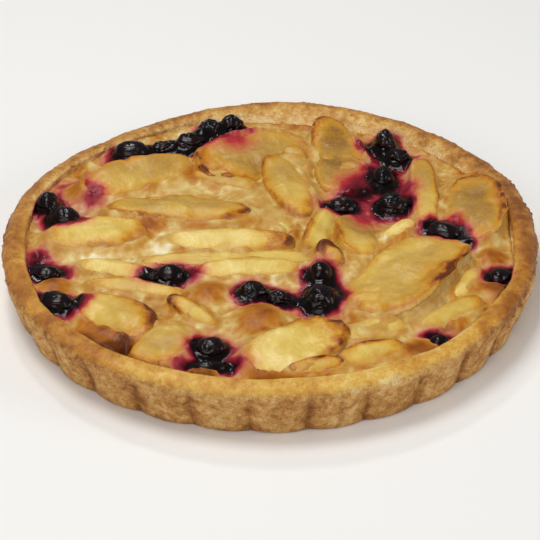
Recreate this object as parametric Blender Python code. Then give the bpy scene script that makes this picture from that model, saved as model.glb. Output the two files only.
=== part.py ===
# A baked fruit tart, 26 cm across: a fluted shortcrust case filled with custard, apple slices and dark berries.
# The case, the custard, every slice and every berry are separate solids. Z points up, the tart stands on Z = 0 and
# its middle is on the Z axis. Lengths below are millimetres and angles are degrees. Angles round the tart run
# anticlockwise from +X, so 90 is the back and 270 the front.

import math

import bmesh
import bpy
from mathutils import Euler, Matrix, Vector, noise

MM = 0.001

# The case
OUTER_RADIUS = 130.0       # the flutes' widest point
RIM_HEIGHT = 26.0          # the crest of the rim
FLOOR_HEIGHT = 5.0         # the crust under the custard
WALL_RADIUS = 115.5        # the inner wall where the custard meets it
WALL_FLARE = 0.2           # how much the inner wall leans out, per mm of height
WALL_LEVEL = 19.5          # the height at which WALL_RADIUS holds
RIM_WIDTH = 10.5           # from the flutes' widest point to the rim's inner edge
RIM_CLEAR = 0.4            # the least that the rim's inner edge stands outside the wall
FLUTES = 30
FLUTE_DEPTH = 3.2
FLUTE_POWER = 0.6          # under 1 flattens the crowns and narrows the valleys
FLUTE_START = -94.0        # the angle of one valley between two flutes
STEPS_PER_FLUTE = 4
# The outside from the underside up to the crest of the rim: (how far in from the flutes' widest point, height, how
# much of the flutes' depth is left there)
CASE_OUTSIDE = [(8.5, 0.0, 0.3), (4.8, 1.2, 0.9), (1.0, 16.0, 0.9), (0.0, 21.0, 0.45), (2.0, 24.4, 0.35),
                (6.5, RIM_HEIGHT, 0.1)]
# The inside from the rim down to the floor: (share of the way from the wall out to the rim's inner edge, height)
CASE_INSIDE = [(1.0, 25.3), (0.5, 22.6), (0.0, WALL_LEVEL), (0.0, 10.0), (0.0, FLOOR_HEIGHT)]

# The hand-pressed case isn't round: (angle, how many mm more, how wide in degrees)
OUTER_WAVES = [(125, -3.5, 26), (20, 1.5, 16), (232, 0.8, 20)]
WALL_WAVES = [(80, -6.0, 30), (158, 3.0, 22), (215, 4.0, 24), (270, -1.0, 16), (310, 3.5, 20), (343, 3.0, 14),
              (18, 2.0, 14)]
RIM_WAVES = [(128, -2.0, 24), (84, 0.8, 12), (20, 0.8, 15), (205, -0.6, 18), (268, 1.8, 38)]

# The custard
CUSTARD_EDGE = 19.6        # its height at the wall
CUSTARD_DOME = 3.2         # how much higher it stands in the middle
CUSTARD_STEPS = 48
CUSTARD_RINGS = 7
CUSTARD_SPACING = 0.9      # under 1 puts the rings closer together at the wall
# Where it has puffed up: (x, y, how high, how wide)
CUSTARD_MOUNDS = [
    (-29, -51, 3.5, 11), (-4, -71, 4.5, 12), (-98, -41, 3.5, 9), (104, -21, 3.5, 8), (103, -46, 3.0, 8),
    (-80, -88, 2.5, 11), (70, -90, 3.0, 9), (-97, 41, 2.5, 10), (-6, 34, 2.5, 12), (-48, 46, 2.0, 9),
    (-30, -109, 2.5, 8), (56, -72, 2.5, 9), (0, 12, 2.0, 10),
]

GAP = 0.45                 # from the custard and the toppings to the case
CUTTER_GAP = 0.12          # from a topping's cutter to the case, so that no thin custard is left between
GROW = 0.35                # how much larger a topping's cutter is than the topping
CUSTARD_WALL = [FLOOR_HEIGHT + GAP, 10.0, CUSTARD_EDGE]

SLICE_SIDES = 12
SLICE_LAYERS = 5
SLICE_SPREAD = 0.28        # a lower power squares the slices' rims
SLICE_SHOULDER = 0.8       # and this one fills them out
BERRY_LUMPS = 1.7          # lumps to a berry's radius
BERRY_SEED_STEP = 7.3      # how far apart the berries lie in the noise
SHARP_ANGLE = 50
SCRAP_MERGE = 0.000002     # metres: corners that a cut left this close are one

# Colour and roughness
MATERIALS = {
    "shortcrust": ((0.45, 0.23, 0.08), 0.75),
    "custard": ((0.74, 0.52, 0.26), 0.5),
    "baked_apple": ((0.70, 0.46, 0.14), 0.4),
    "berry": ((0.012, 0.006, 0.01), 0.25),
}


def slice_of_apple(name, at, length, left, right, thick, heading, roll=0, pitch=0, lift=0, taper=0, bow=0,
                   wedge=0.15, square=2.4):
    # One slice. at is its middle; heading is where its long axis points; left and right are how far it reaches to
    # either side of that axis; roll raises its left side and pitch its far end; lift curls up the left edge, or
    # the right edge where it is negative; taper widens the far end; bow bends the axis to the left; wedge thickens
    # the left side; a higher square gives blunter ends.
    return dict(name=name, at=at, length=length, left=left, right=right, thick=thick, heading=heading, roll=roll,
                pitch=pitch, lift=lift, taper=taper, bow=bow, wedge=wedge, square=square)


# The slices, from the one on top of the others to the lowest
SLICES = [
    slice_of_apple("slice_right_round", (64, -38, 24.5), 75, 23, 22, 7, 58, roll=-7, lift=-3.5, square=2.4),
    slice_of_apple("slice_middle_lens", (9, 39, 25), 66, 10, 11, 8, 107, roll=-8, square=2.0),
    slice_of_apple("slice_boat", (-45, 17, 24.5), 74, 11, 13, 11, -4, roll=-4, taper=0.12, bow=2, square=2.3),
    slice_of_apple("slice_middle_lump", (13, 65, 24.5), 24, 7, 7, 8, 95),
    slice_of_apple("slice_back_right", (33, 82, 24.5), 44, 12, 13, 7, 105, pitch=8, taper=-0.2),
    slice_of_apple("slice_back_centre", (-10, 70, 24.5), 60, 19, 19, 7, 24, roll=10, square=2.3),
    slice_of_apple("slice_back_right_low", (36, 54, 23), 36, 13, 15, 7, 100),
    slice_of_apple("slice_long_middle", (-20, -8, 24), 64, 8, 8, 8, -2, square=2.8),
    slice_of_apple("slice_left_lens", (-84, -1, 23.5), 48, 13, 13, 9, 3, square=2.5),
    slice_of_apple("slice_peak", (29, -22, 25), 19, 6, 6, 8, -45, pitch=-20, square=2.0),
    slice_of_apple("slice_centre_right_a", (24, 0, 24), 40, 7, 8, 9, 72, roll=14),
    slice_of_apple("slice_centre_right_b", (42, -3, 23.5), 36, 11, 12, 8, 95, roll=10),
    slice_of_apple("slice_yellow_strip", (-10, -31, 23), 52, 7, 7, 8, 3, square=2.8),
    slice_of_apple("slice_right_strip", (77, 38, 24), 62, 6, 7, 8, 89, square=2.8),
    slice_of_apple("slice_far_right", (100, 23, 24), 60, 14, 17, 7, 84, roll=-4, lift=-4, square=2.5),
    slice_of_apple("slice_back_left", (-67, 52, 24), 60, 13, 12, 9, 28, roll=5, taper=-0.15),
    slice_of_apple("slice_front_left", (-71, -68, 23.5), 44, 12, 12, 8, -33, roll=4, taper=0.1, square=2.6),
    slice_of_apple("slice_front_big", (11.5, -92.5, 23.5), 51, 16, 16, 8, 32, square=2.5),
    slice_of_apple("slice_front_pale", (-48, -90, 22.5), 32, 12, 12, 7, 62, square=2.8),
    slice_of_apple("slice_front_small", (-36, -66, 23.5), 31, 5, 5, 7, -43, square=2.2),
    slice_of_apple("slice_left_strip_low", (-63, -46, 22.5), 47, 5, 5, 7, -12),
    slice_of_apple("slice_left_strip", (-74, -30, 22.5), 36, 6, 7, 7, -14),
    slice_of_apple("slice_front_edge_a", (21, -107, 22.5), 28, 5, 5, 7, 12),
    slice_of_apple("slice_front_edge_b", (45, -96.5, 22.5), 36, 6, 7, 7, 20),
    slice_of_apple("slice_front_right_pale", (48, -79, 22), 32, 8, 8, 7, 22),
    slice_of_apple("slice_front_right_strip", (84, -66, 22.5), 38, 6, 6, 7, 36),
    slice_of_apple("slice_right_low", (93, -42, 22), 30, 5, 5, 6, 65),
    slice_of_apple("slice_boat_left", (-70, 17, 22.5), 26, 5, 5, 7, -14),
    slice_of_apple("slice_boat_front", (-50, 10, 22), 18, 5, 5, 7, -25),
    slice_of_apple("slice_right_cream", (63, 3, 23), 22, 4, 4, 6, 38),
    slice_of_apple("slice_back_under", (-24, 50, 22.5), 36, 6, 5, 6, -24),
    slice_of_apple("slice_under_custard", (3, 9, 23), 28, 9, 9, 7, 110),
    slice_of_apple("slice_long_low", (-18, -20, 21.5), 86, 5, 6, 6, 2, square=2.8),
]


def berry(name, at, size, heading=0, wrinkle=0.10):
    # One berry. size is how far it reaches from its middle along its heading, across it and up.
    return dict(name=name, at=at, size=size, heading=heading, wrinkle=wrinkle)


BERRIES = [
    berry("berry_back_big", (-71, 76, 24.5), (9.2, 7, 5.8)),
    berry("berry_back_crushed", (-54, 82, 23.5), (7, 5, 3.5), 15, wrinkle=0.18),
    berry("berry_back_wrinkled", (-41, 84, 25), (7.5, 6, 5.5), 10, wrinkle=0.14),
    berry("berry_back_cluster", (-31, 96, 25), (6.5, 7, 6), 20, wrinkle=0.18),
    berry("berry_back_tall", (-20, 99, 26), (5.5, 6.5, 6.5), 80, wrinkle=0.12),
    berry("berry_left_wall", (-110, 27, 24), (7, 5.5, 6), 100),
    berry("berry_left", (-101, 14, 24), (8.5, 6.5, 6), -30),
    berry("berry_left_sunk", (-106, -31, 21.5), (6.5, 5, 4)),
    berry("berry_left_front", (-99, -57, 23), (8.5, 6.5, 5.5), -25),
    berry("berry_strip", (-47, -34.5, 24), (6.8, 6, 4.6)),
    berry("berry_strip_small", (-55, -37, 23.5), (3.5, 3, 3)),
    berry("berry_middle", (-8, -50, 24), (6.5, 6, 5.5)),
    berry("berry_middle_crushed", (4, -54, 23.5), (6, 5, 4), -25, wrinkle=0.18),
    berry("berry_middle_tall", (24, -36, 25), (5.6, 6, 6.2)),
    berry("berry_middle_wrinkled", (23.5, -55, 24), (7.2, 8.5, 6.5), 5, wrinkle=0.14),
    berry("berry_front", (-26.5, -92.5, 23.5), (6.9, 6, 4.6)),
    berry("berry_front_sunk", (-27, -105, 21.5), (7.5, 4, 3.5), 5),
    berry("berry_centre_right", (36, 24.5, 24), (7.2, 6, 4.8)),
    berry("berry_right_upper", (57.5, 51, 24), (5.5, 7.5, 6)),
    berry("berry_right_wrinkled", (61, 25, 24), (8, 8, 6.5), 20, wrinkle=0.14),
    berry("berry_back_right", (60, 85, 25), (5.2, 7.5, 6.5)),
    berry("berry_back_right_low", (66, 72, 24), (6.2, 5, 4.5), -20, wrinkle=0.18),
    berry("berry_right", (85, 1, 24.5), (8.5, 6, 5), -35),
    berry("berry_right_sunk", (109, -34, 22), (6, 5, 4), 60),
    berry("berry_front_right", (77, -86, 22.5), (4.5, 3.5, 3)),
]


def turn_between(angle, centre):
    return (angle - centre + 180.0) % 360.0 - 180.0


def waves(angle, rows):
    return sum(amount * math.exp(-(turn_between(angle, centre) / spread) ** 2) for centre, amount, spread in rows)


def outer_radius(angle):
    return OUTER_RADIUS + waves(angle, OUTER_WAVES)


def wall_radius(angle, height):
    return WALL_RADIUS + waves(angle, WALL_WAVES) + WALL_FLARE * (height - WALL_LEVEL)


def flute(angle):
    # From 0 on a flute's crown down to -1 in the valley between two flutes
    along = (angle - FLUTE_START) / (360.0 / FLUTES)
    return abs(math.sin(math.pi * along)) ** FLUTE_POWER - 1.0


def custard_height(x, y):
    reach = math.hypot(x, y) / WALL_RADIUS
    height = CUSTARD_EDGE + CUSTARD_DOME * max(0.0, 1.0 - reach ** 2)
    for middle_x, middle_y, rise, width in CUSTARD_MOUNDS:
        height += rise * math.exp(-((x - middle_x) ** 2 + (y - middle_y) ** 2) / width ** 2)
    return height


def keep_inside_case(point, gap):
    # Draws a point in to the inner wall where it would reach into the crust
    angle = math.degrees(math.atan2(point.y, point.x))
    reach = math.hypot(point.x, point.y)
    limit = wall_radius(angle, point.z) - gap
    if reach > limit:
        point.x *= limit / reach
        point.y *= limit / reach


def principled(name):
    colour, roughness = MATERIALS[name]
    material = bpy.data.materials.new(name)
    material.use_nodes = True
    shader = material.node_tree.nodes["Principled BSDF"]
    shader.inputs["Base Color"].default_value = (*colour, 1.0)
    shader.inputs["Roughness"].default_value = roughness
    shader.inputs["Metallic"].default_value = 0.0
    return material


def new_object(name, mesh, collection, material=None):
    for vertex in mesh.vertices:
        vertex.co *= MM
    mesh.shade_smooth()
    mesh.set_sharp_from_angle(angle=math.radians(SHARP_ANGLE))
    piece = bpy.data.objects.new(name, mesh)
    if material:
        mesh.materials.append(material)
    collection.objects.link(piece)
    return piece


def turned(stations, steps, place, bottom, top):
    # A closed round body. place gives the distance from the middle and the height of a station at an angle; bottom
    # and top are the heights at which the body closes in the middle. It is spun as a plain drum whose stations lie
    # 1 apart, and every corner is then moved to its place.
    bm = bmesh.new()
    profile = [(0, -1)] + [(1, station) for station in range(stations)] + [(0, stations)]
    points = [bm.verts.new((radius, 0, height)) for radius, height in profile]
    edges = [bm.edges.new(pair) for pair in zip(points, points[1:])]
    bmesh.ops.spin(bm, geom=points + edges, axis=(0, 0, 1), cent=(0, 0, 0), angle=math.tau, steps=steps,
                   use_merge=True, use_duplicate=False)
    bmesh.ops.remove_doubles(bm, verts=bm.verts, dist=0.001)
    bmesh.ops.recalc_face_normals(bm, faces=bm.faces)
    for vertex in bm.verts:
        station = round(vertex.co.z)
        if station < 0:
            vertex.co = Vector((0, 0, bottom))
        elif station >= stations:
            vertex.co = Vector((0, 0, top))
        else:
            turn = math.atan2(vertex.co.y, vertex.co.x)
            reach, height = place(station, math.degrees(turn))
            vertex.co = Vector((reach * math.cos(turn), reach * math.sin(turn), height))
    bmesh.ops.recalc_face_normals(bm, faces=bm.faces)
    return bm


def finished_mesh(bm, name):
    mesh = bpy.data.meshes.new(name)
    bm.to_mesh(mesh)
    bm.free()
    return mesh


def case_place(station, angle):
    outer = outer_radius(angle)
    if station < len(CASE_OUTSIDE):
        inset, height, share = CASE_OUTSIDE[station]
        reach = outer - inset + share * FLUTE_DEPTH * flute(angle)
    else:
        share, height = CASE_INSIDE[station - len(CASE_OUTSIDE)]
        wall = wall_radius(angle, height)
        rim_edge = max(outer - RIM_WIDTH, wall + RIM_CLEAR)
        reach = wall + share * (rim_edge - wall)
    if height > WALL_LEVEL:
        height += waves(angle, RIM_WAVES) * (height - WALL_LEVEL) / (RIM_HEIGHT - WALL_LEVEL)
    return reach, height


def make_case(collection, material):
    stations = len(CASE_OUTSIDE) + len(CASE_INSIDE)
    bm = turned(stations, FLUTES * STEPS_PER_FLUTE, case_place, bottom=0.0, top=FLOOR_HEIGHT)
    return new_object("crust", finished_mesh(bm, "crust"), collection, material)


def custard_place(station, angle):
    # The first stations go up the wall, and the others are rings from the wall in towards the middle
    if station < len(CUSTARD_WALL):
        height = CUSTARD_WALL[station]
        return wall_radius(angle, height) - GAP, height
    ring = station - len(CUSTARD_WALL) + 1
    reach = wall_radius(angle, CUSTARD_EDGE) * (1 - ring / CUSTARD_RINGS) ** CUSTARD_SPACING
    turn = math.radians(angle)
    return reach, custard_height(reach * math.cos(turn), reach * math.sin(turn))


def make_custard(collection, material):
    stations = len(CUSTARD_WALL) + CUSTARD_RINGS - 1
    bm = turned(stations, CUSTARD_STEPS, custard_place, bottom=CUSTARD_WALL[0], top=custard_height(0, 0))
    return new_object("custard", finished_mesh(bm, "custard"), collection, material)


def signed_power(value, power):
    return math.copysign(abs(value) ** power, value)


def make_slice(row, collection, material=None, grow=0.0, gap=GAP):
    # A ball is pressed into a slab with the slice's outline and rounded rims, then curled, tilted and put in place
    bm = bmesh.new()
    bmesh.ops.create_uvsphere(bm, u_segments=SLICE_SIDES, v_segments=SLICE_LAYERS, radius=1.0)
    half_length = row["length"] / 2 + grow
    turn = Euler([math.radians(a) for a in (row["roll"], -row["pitch"], row["heading"])], "XYZ").to_matrix()
    for vertex in bm.verts:
        direction = math.atan2(vertex.co.y, vertex.co.x)
        rise = vertex.co.z
        spread = max(0.0, 1.0 - rise * rise) ** SLICE_SPREAD
        along = spread * signed_power(math.cos(direction), 2 / row["square"])
        across = spread * signed_power(math.sin(direction), 2 / row["square"])
        side = (row["left"] if across > 0 else row["right"]) + grow
        curl = max(0.0, across * math.copysign(1, row["lift"])) ** 2 * abs(row["lift"])
        point = Vector((
            along * half_length,
            across * side * (1 + row["taper"] * along) + row["bow"] * (1 - along * along),
            signed_power(rise, SLICE_SHOULDER) * (row["thick"] / 2 * (1 + row["wedge"] * across) + grow) + curl,
        ))
        point = turn @ point + Vector(row["at"])
        keep_inside_case(point, gap)
        vertex.co = point
    return new_object(row["name"], finished_mesh(bm, row["name"]), collection, material)


def make_berry(row, seed, collection, material=None, grow=0.0, gap=GAP):
    bm = bmesh.new()
    bmesh.ops.create_icosphere(bm, subdivisions=2, radius=1.0)
    turn = Matrix.Rotation(math.radians(row["heading"]), 3, "Z")
    offset = Vector((BERRY_SEED_STEP * seed, 0, 0))
    for vertex in bm.verts:
        swell = 1.0 + row["wrinkle"] * noise.noise(vertex.co * BERRY_LUMPS + offset)
        point = Vector([vertex.co[axis] * (row["size"][axis] * swell + grow) for axis in range(3)])
        point = turn @ point + Vector(row["at"])
        keep_inside_case(point, gap)
        vertex.co = point
    return new_object(row["name"], finished_mesh(bm, row["name"]), collection, material)


def box_of(piece):
    corners = [vertex.co for vertex in piece.data.vertices]
    return [(min(c[axis] for c in corners), max(c[axis] for c in corners)) for axis in range(3)]


def boxes_meet(first, second):
    return all(a[0] <= b[1] and b[0] <= a[1] for a, b in zip(first, second))


def keep_largest_body(mesh):
    # A cut can leave a loose scrap. Only the body with the most volume stays.
    bm = bmesh.new()
    bm.from_mesh(mesh)
    bmesh.ops.remove_doubles(bm, verts=bm.verts, dist=SCRAP_MERGE)
    bmesh.ops.triangulate(bm, faces=bm.faces)
    waiting = set(bm.faces)
    bodies = []
    while waiting:
        front = [waiting.pop()]
        body = list(front)
        while front:
            face = front.pop()
            for edge in face.edges:
                for neighbour in edge.link_faces:
                    if neighbour in waiting:
                        waiting.remove(neighbour)
                        front.append(neighbour)
                        body.append(neighbour)
        bodies.append(body)

    def volume(body):
        return abs(sum(f.verts[0].co.dot(f.verts[1].co.cross(f.verts[2].co)) for f in body))

    bodies.sort(key=volume)
    scraps = [face for body in bodies[:-1] for face in body]
    bmesh.ops.delete(bm, geom=scraps, context="FACES")
    bm.to_mesh(mesh)
    bm.free()


def cut(piece, cutters):
    # Takes the cutters away from a piece
    group = bpy.data.collections.new(piece.name + "_cutters")
    for cutter in cutters:
        group.objects.link(cutter)
    boolean = piece.modifiers.new("make room", "BOOLEAN")
    boolean.operation = "DIFFERENCE"
    boolean.solver = "EXACT"
    boolean.operand_type = "COLLECTION"
    boolean.collection = group
    evaluated = piece.evaluated_get(bpy.context.evaluated_depsgraph_get())
    mesh = bpy.data.meshes.new_from_object(evaluated)
    piece.modifiers.remove(boolean)
    bpy.data.collections.remove(group)
    keep_largest_body(mesh)
    old = piece.data
    piece.data = mesh
    bpy.data.meshes.remove(old)


def main():
    for item in list(bpy.data.objects):
        bpy.data.objects.remove(item)
    tart = bpy.data.collections.new("fruit_tart")
    cutters = bpy.data.collections.new("cutters")
    for collection in (tart, cutters):
        bpy.context.scene.collection.children.link(collection)

    make_case(tart, principled("shortcrust"))
    custard = make_custard(tart, principled("custard"))
    apple_material = principled("baked_apple")
    berry_material = principled("berry")

    # Berries lie on top of the slices, and each slice on those after it
    toppings = [(make_berry(row, seed, tart, berry_material),
                 make_berry(row, seed, cutters, grow=GROW, gap=CUTTER_GAP)) for seed, row in enumerate(BERRIES)]
    toppings += [(make_slice(row, tart, apple_material),
                  make_slice(row, cutters, grow=GROW, gap=CUTTER_GAP)) for row in SLICES]
    for piece, cutter in toppings:
        cutter.name = piece.name + "_cutter"
        cutter.hide_render = True
        cutter.display_type = "WIRE"

    for place, (piece, _) in enumerate(toppings):
        box = box_of(piece)
        above = [cutter for _, cutter in toppings[:place] if boxes_meet(box, box_of(cutter))]
        if above:
            cut(piece, above)
    cut(custard, [cutter for _, cutter in toppings])
    for _, cutter in toppings:
        bpy.data.objects.remove(cutter)
    bpy.data.collections.remove(cutters)


main()
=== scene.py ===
# A baked fruit tart: a fluted shortcrust case, custard, browned apple slices and dark berries in their juice.
# Lengths are in millimetres until a piece is finished, and angles in degrees, anticlockwise from +X seen from above.
import math

import bmesh
import bpy
import numpy as np
from mathutils import Euler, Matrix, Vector, noise
from mathutils.bvhtree import BVHTree


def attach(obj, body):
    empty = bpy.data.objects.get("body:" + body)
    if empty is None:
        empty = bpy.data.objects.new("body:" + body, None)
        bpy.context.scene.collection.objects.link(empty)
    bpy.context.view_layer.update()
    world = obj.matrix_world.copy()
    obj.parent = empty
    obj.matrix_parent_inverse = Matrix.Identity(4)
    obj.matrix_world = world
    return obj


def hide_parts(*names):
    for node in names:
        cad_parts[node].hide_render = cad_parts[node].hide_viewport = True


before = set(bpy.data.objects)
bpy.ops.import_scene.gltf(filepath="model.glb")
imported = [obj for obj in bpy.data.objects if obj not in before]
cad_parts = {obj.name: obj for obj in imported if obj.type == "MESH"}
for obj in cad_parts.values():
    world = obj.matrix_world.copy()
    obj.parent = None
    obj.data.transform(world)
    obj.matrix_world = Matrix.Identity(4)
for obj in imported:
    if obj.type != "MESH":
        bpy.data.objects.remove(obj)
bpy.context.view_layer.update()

mm = 0.001


def toLinear(hexColour):
    # an sRGB hex value as the linear colour that a shader takes
    parts = [int(hexColour[i:i + 2], 16) / 255 for i in (1, 3, 5)]
    return [p / 12.92 if p <= 0.04045 else ((p + 0.055) / 1.055) ** 2.4 for p in parts] + [1.0]


def smoothStep(low, high, value):
    t = np.clip((value - low) / (high - low), 0, 1)
    return t * t * (3 - 2 * t)


def waves(angle, rows):
    total = np.zeros_like(angle)
    for centre, amount, spread in rows:
        away = (angle - centre + 180) % 360 - 180
        total += amount * np.exp(-(away / spread) ** 2)
    return total


def noiseAt(points, size, seed=0):
    # smooth noise with features of the given size, about -1 to 1
    scaled = np.asarray(points) / size + seed * 17.31
    return np.array([noise.noise(p) for p in scaled.tolist()])


def ridgesAt(points, size, seed=0):
    # 1 on the sharp crest of a fold, falling to 0
    return 1 - np.minimum(1, np.abs(noiseAt(points, size, seed)) * 2.6)


def cellsAt(points, size, seed=0):
    # distance to the nearest of some scattered points, in spacings
    scaled = np.asarray(points) / size + seed * 9.7
    return np.array([noise.voronoi(p)[0][0] for p in scaled.tolist()])


def alongAcross(x, y, heading):
    # coordinates along and across something that points that way
    turn = math.radians(heading)
    return x * math.cos(turn) + y * math.sin(turn), y * math.cos(turn) - x * math.sin(turn)


def angleOf(points):
    return np.degrees(np.arctan2(points[:, 1], points[:, 0]))


def vertexPoints(mesh):
    points = np.empty(len(mesh.vertices) * 3)
    mesh.vertices.foreach_get("co", points)
    return points.reshape(-1, 3)


def meshFrom(bm, name):
    mesh = bpy.data.meshes.new(name)
    bm.to_mesh(mesh)
    bm.free()
    return mesh


def putInScene(name, data):
    thing = bpy.data.objects.new(name, data)
    bpy.context.scene.collection.objects.link(thing)
    return thing


def finishPiece(name, mesh, points, material, values, nodes, vectors=None):
    # puts a shaped mesh in the scene, in metres, with its attributes, material and place in the frame
    mesh.vertices.foreach_set("co", (points * mm).ravel())
    mesh.update()
    for key, value in values.items():
        mesh.attributes.new(key, "FLOAT", "POINT").data.foreach_set("value", np.asarray(value, dtype=float))
    for key, value in (vectors or {}).items():
        mesh.attributes.new(key, "FLOAT_VECTOR", "POINT").data.foreach_set("vector", (value * mm).ravel())
    mesh.shade_smooth()
    mesh.materials.append(material)
    piece = putInScene(name, mesh)
    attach(piece, "root")
    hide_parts(*nodes)
    return piece


def addNode(tree, kind, settings=(), links=(), out=0):
    # adds a node, or takes one that is there, and gives one of its outputs; a setting is one of its sockets or
    # properties, and stops are a colour ramp's
    item = tree.nodes.new("ShaderNode" + kind) if isinstance(kind, str) else kind
    for key, value in dict(settings).items():
        if key == "stops":
            ramp = item.color_ramp
            while len(ramp.elements) < len(value):
                ramp.elements.new(0.5)
            for element, (place, colour) in zip(ramp.elements, value):
                element.position = place
                element.color = toLinear(colour)
        elif isinstance(key, int) or key in item.inputs:
            item.inputs[key].default_value = value
        else:
            setattr(item, key, value)
    for key, source in dict(links).items():
        tree.links.new(source, item.inputs[key])
    return item.outputs[out]


def newMaterial(name):
    material = bpy.data.materials.new(name)
    material.use_nodes = True
    tree = material.node_tree
    return material, tree, tree.nodes["Principled BSDF"]


# What juice makes of apple and of custard, by how much of it there is
fleshJuice = [(0.0, "#E2A45C"), (0.2, "#D47048"), (0.4, "#B42C34"), (0.6, "#780C1C"), (0.8, "#2C040A"),
              (1.0, "#090304")]
creamJuice = [(0.0, "#E2B684"), (0.2, "#D07E64"), (0.4, "#AC3440"), (0.6, "#6C0A1C"), (0.78, "#24040A"),
              (1.0, "#090304")]


def juiceOver(tree, colour, stain, stops):
    # lays berry juice over a colour: a blush where it has only tinted, nearly black where it has pooled
    ramp = addNode(tree, "ValToRGB", {"stops": stops}, {"Fac": stain})
    cover = addNode(tree, "MapRange", {"From Min": 0.05, "From Max": 0.40}, {"Value": stain})
    return addNode(tree, "Mix", {"data_type": "RGBA"}, {0: cover, 6: colour, 7: ramp}, 2)


def shortcrust():
    # Baked shortcrust pastry: a dry, sandy crumb that scatters light softly, browned where it stood proud of the tin,
    # with a thin shine of butter on its rim.
    material, tree, shader = newMaterial("bakedShortcrust")
    place = addNode(tree, "TexCoord", out="Object")
    brown, glaze, stain = (addNode(tree, "Attribute", {"attribute_name": key}, out="Fac")
                           for key in ("brown", "glaze", "stain"))
    patches = addNode(tree, "TexNoise", {"Scale": 1 / (11 * mm), "Detail": 6.0, "Roughness": 0.65}, {"Vector": place})
    crumb = addNode(tree, "TexNoise", {"Scale": 1 / (3.4 * mm), "Detail": 6.0, "Roughness": 0.7, "Distortion": 0.3},
                    {"Vector": place})
    sand = addNode(tree, "TexNoise", {"Scale": 1 / (0.9 * mm), "Detail": 4.0, "Roughness": 0.7}, {"Vector": place})
    shade = addNode(tree, "Math", {"operation": "MULTIPLY_ADD", 1: 0.75}, {0: patches, 2: brown})
    crumbShare = addNode(tree, "MapRange", {"To Min": 1.0, "To Max": 0.5}, {"Value": glaze})
    crumbTone = addNode(tree, "Math", {"operation": "MULTIPLY_ADD", 1: 1.4, 2: -0.7}, {0: crumb})
    shadeCrumb = addNode(tree, "Math", {"operation": "MULTIPLY_ADD"}, {0: crumbTone, 1: crumbShare, 2: shade})
    side = addNode(tree, "ValToRGB", {"stops": [
        (0.0, "#EBCC90"), (0.20, "#DCAE68"), (0.40, "#C68E4A"), (0.62, "#A06830"), (0.85, "#784820")]},
        {"Fac": shadeCrumb})
    rim = addNode(tree, "ValToRGB", {"stops": [
        (0.0, "#F1D88E"), (0.20, "#E2B654"), (0.40, "#CC9036"), (0.62, "#AC6A20"), (0.85, "#844A14")]},
        {"Fac": shadeCrumb})
    colour = addNode(tree, "Mix", {"data_type": "RGBA"}, {0: glaze, 6: side, 7: rim}, 2)
    specks = addNode(tree, "MapRange", {"From Min": 0.52, "From Max": 0.74}, {"Value": sand, "To Max": crumbShare})
    speckled = addNode(tree, "Mix", {"data_type": "RGBA", "blend_type": "MULTIPLY", 7: toLinear("#BC9468")},
                       {0: specks, 6: colour}, 2)
    rough = addNode(tree, "MapRange", {"To Min": 0.75, "To Max": 0.20}, {"Value": glaze})
    height = addNode(tree, "Math", {"operation": "MULTIPLY_ADD", 1: 0.30}, {0: sand, 2: crumb})
    relief = addNode(tree, "Math", {"operation": "MULTIPLY"}, {0: height, 1: crumbShare})
    bump = addNode(tree, "Bump", {"Strength": 1.0, "Distance": 1.2 * mm}, {"Height": relief})
    addNode(tree, shader, {"IOR": 1.45, "Specular IOR Level": 0.4, "Subsurface Weight": 0.08,
                           "Subsurface Scale": 2 * mm},
            {"Base Color": juiceOver(tree, speckled, stain, creamJuice), "Roughness": rough, "Normal": bump})
    return material


def bakedCustard():
    # Baked egg custard: an opaque, fatty gel that light enters a few millimetres, moist and slightly blistered, with a
    # thin caramel skin where it puffed up and browned.
    material, tree, shader = newMaterial("bakedCustard")
    place = addNode(tree, "TexCoord", out="Object")
    brown, stain = (addNode(tree, "Attribute", {"attribute_name": key}, out="Fac") for key in ("brown", "stain"))
    clouds, grain = (addNode(tree, "TexNoise", {"Scale": 1 / (size * mm), "Detail": detail, "Roughness": fine},
                             {"Vector": place}) for size, detail, fine in ((9, 4.0, 0.6), (1.8, 5.0, 0.65)))
    blisters = addNode(tree, "TexVoronoi", {"Scale": 1 / (2.6 * mm), "feature": "SMOOTH_F1", "Smoothness": 0.6},
                       {"Vector": place})
    mottled = addNode(tree, "Math", {"operation": "MULTIPLY_ADD", 1: 0.55}, {0: clouds, 2: brown})
    colour = addNode(tree, "ValToRGB", {"stops": [
        (0.0, "#EFE2B8"), (0.14, "#DCC07A"), (0.32, "#C89A4A"), (0.54, "#BA7420"), (0.78, "#9C5610"),
        (1.0, "#66320C")]}, {"Fac": mottled})
    wet = addNode(tree, "Math", {"operation": "MULTIPLY_ADD", 1: 0.2}, {0: brown, 2: stain})
    rough = addNode(tree, "MapRange", {"From Min": 0.1, "From Max": 0.8, "To Min": 0.3, "To Max": 0.16}, {"Value": wet})
    height = addNode(tree, "Math", {"operation": "MULTIPLY_ADD", 1: 0.5}, {0: blisters, 2: grain})
    calm = addNode(tree, "MapRange", {"From Min": 0.4, "From Max": 0.9, "To Min": 1.0, "To Max": 0.1},
                   {"Value": stain})         # jam is smoother than custard
    relief = addNode(tree, "Math", {"operation": "MULTIPLY"}, {0: height, 1: calm})
    bump = addNode(tree, "Bump", {"Strength": 0.45, "Distance": 0.6 * mm}, {"Height": relief})
    addNode(tree, shader, {"IOR": 1.42, "Specular IOR Level": 0.28, "Subsurface Weight": 0.12,
                           "Subsurface Radius": (1.0, 0.8, 0.45), "Subsurface Scale": 2 * mm},
            {"Base Color": juiceOver(tree, colour, stain, creamJuice), "Roughness": rough, "Normal": bump})
    return material


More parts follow.
